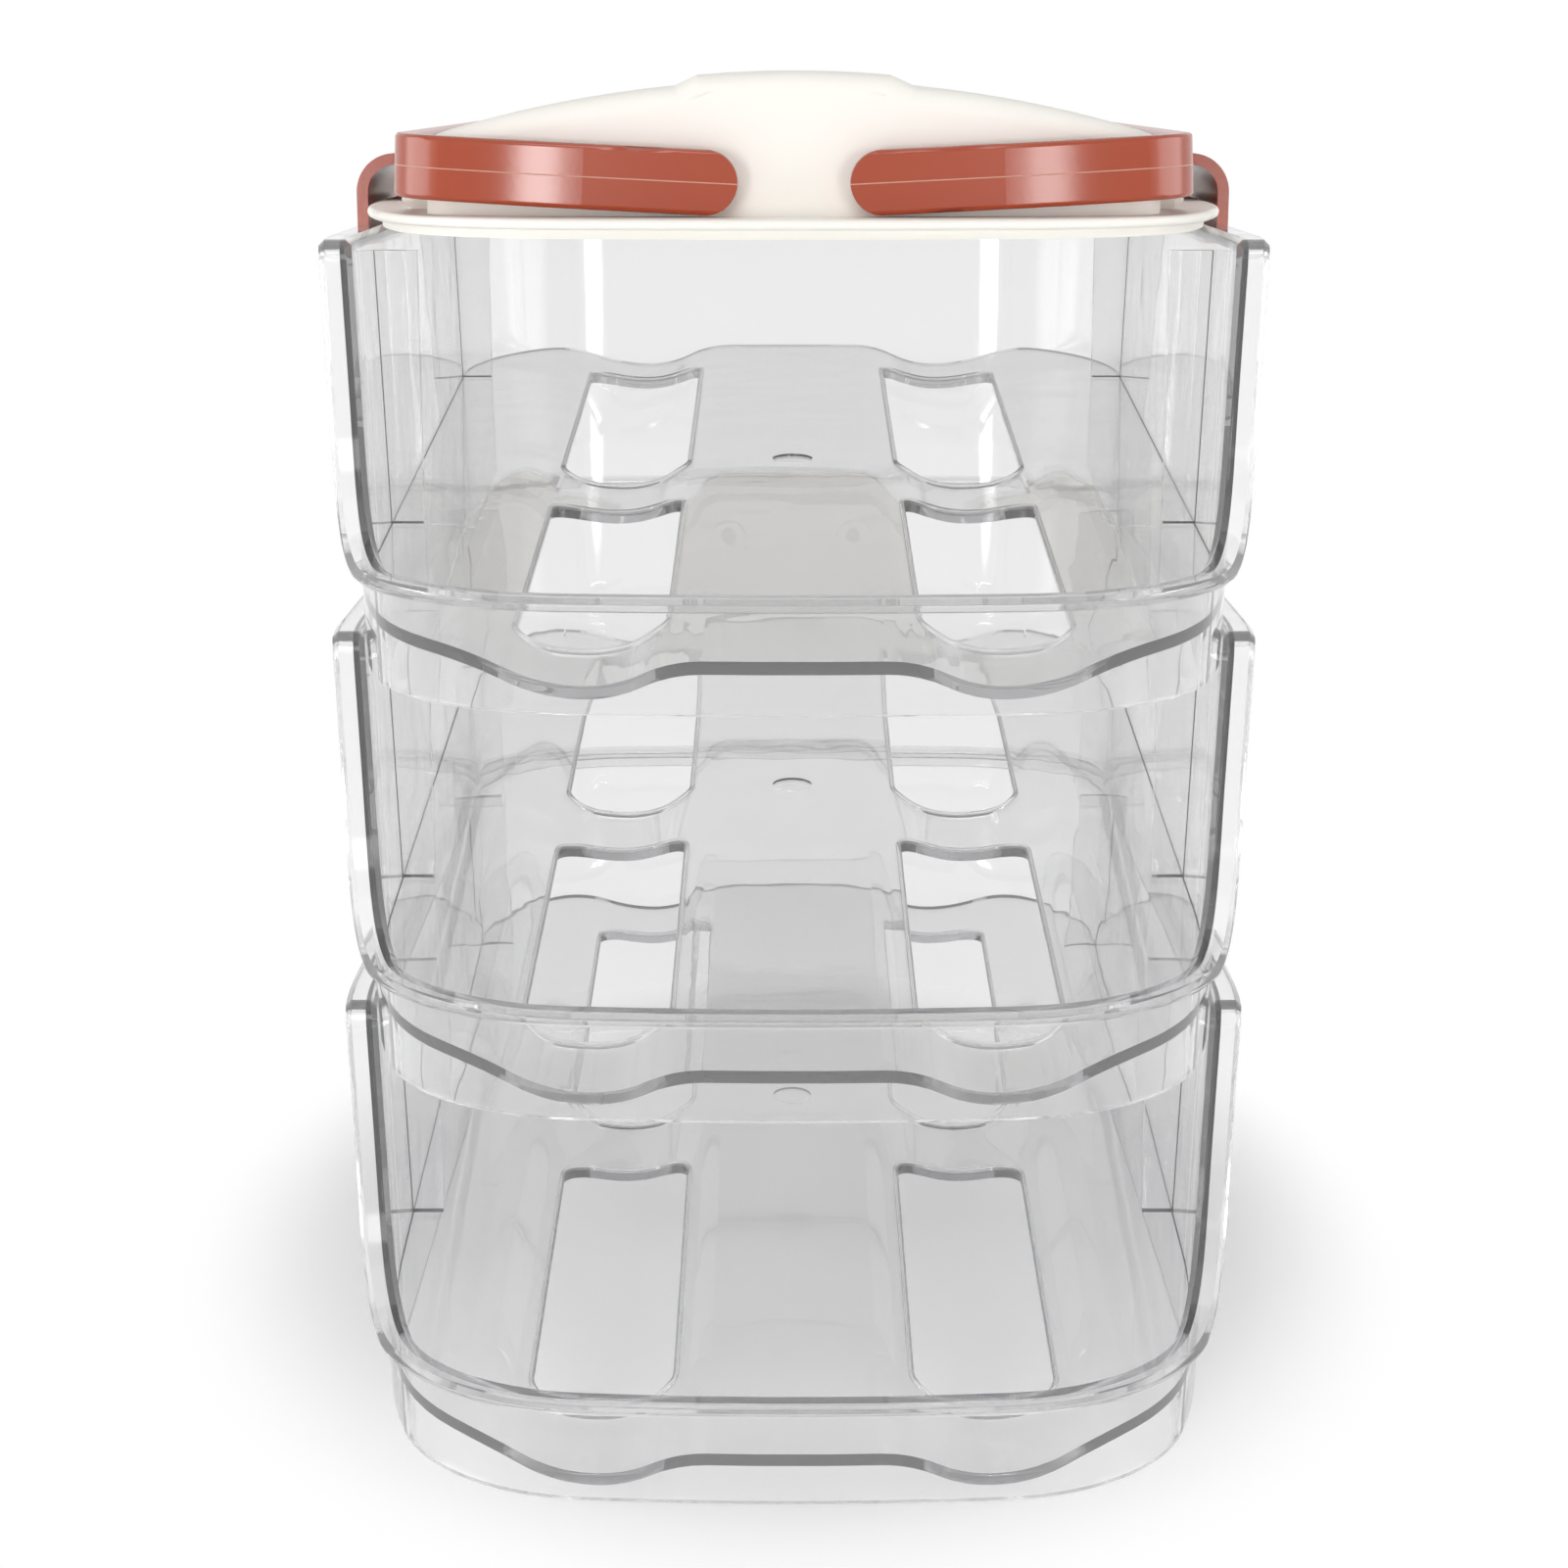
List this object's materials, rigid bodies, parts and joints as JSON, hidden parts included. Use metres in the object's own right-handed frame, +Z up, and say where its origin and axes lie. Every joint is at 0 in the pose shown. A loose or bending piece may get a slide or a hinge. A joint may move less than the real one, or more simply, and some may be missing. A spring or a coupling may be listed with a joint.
{
  "type": "rolling egg dispenser",
  "caption": "Stacking clear egg trays with sloping lanes that roll eggs to a scooped front, under a domed lid with folding carry handles and side latches.",
  "frame": {"origin": "middle of the footprint on the table, under the bottom tray's skirt edge", "axes": "+Z up, the open front faces -Y, +X to the right seen from the front, X = 0 is the plane of symmetry"},
  "size_m": [0.1876, 0.2999, 0.26],
  "materials": {
    "clear": "clear, polished",
    "cream": "satin gloss",
    "brown": "gloss",
    "pin": "moulded"
  },
  "bodies": {
    "bottom": {"bottom_tray": "clear"},
    "middle": {"middle_tray": "clear"},
    "top": {"top_tray": "clear"},
    "lid": {"lid": "cream", "handle_pins": "pin", "latch_pins": "pin"},
    "left_handle": {"handle_left": "brown"},
    "right_handle": {"handle_right": "brown"},
    "left_latch": {"latch_left": "brown"},
    "right_latch": {"latch_right": "brown"}
  },
  "joints": [
    {"name": "middle_tray_lift", "type": "slide", "parent": "bottom", "child": "middle", "axis": [0, 0, 1], "range_m": [0, 0.08]},
    {"name": "top_tray_lift", "type": "slide", "parent": "middle", "child": "top", "axis": [0, 0, 1], "range_m": [0, 0.08]},
    {"name": "lid_lift", "type": "slide", "parent": "top", "child": "lid", "axis": [0, 0, 1], "range_m": [0, 0.06]},
    {"name": "left_handle_swing", "type": "hinge", "parent": "lid", "child": "left_handle", "pos_m": [-0.0168, 0.03, 0.2393], "axis": [0, 1, 0], "range_deg": [0, 97]},
    {"name": "right_handle_swing", "type": "hinge", "parent": "lid", "child": "right_handle", "pos_m": [0.0168, 0.03, 0.2393], "axis": [0, -1, 0], "range_deg": [0, 97]},
    {"name": "left_latch_swing", "type": "hinge", "parent": "lid", "child": "left_latch", "pos_m": [-0.0816, 0.024, 0.2396], "axis": [0, 1, 0], "range_deg": [0, 80]},
    {"name": "right_latch_swing", "type": "hinge", "parent": "lid", "child": "right_latch", "pos_m": [0.0816, 0.024, 0.2396], "axis": [0, -1, 0], "range_deg": [0, 80]}
  ]
}
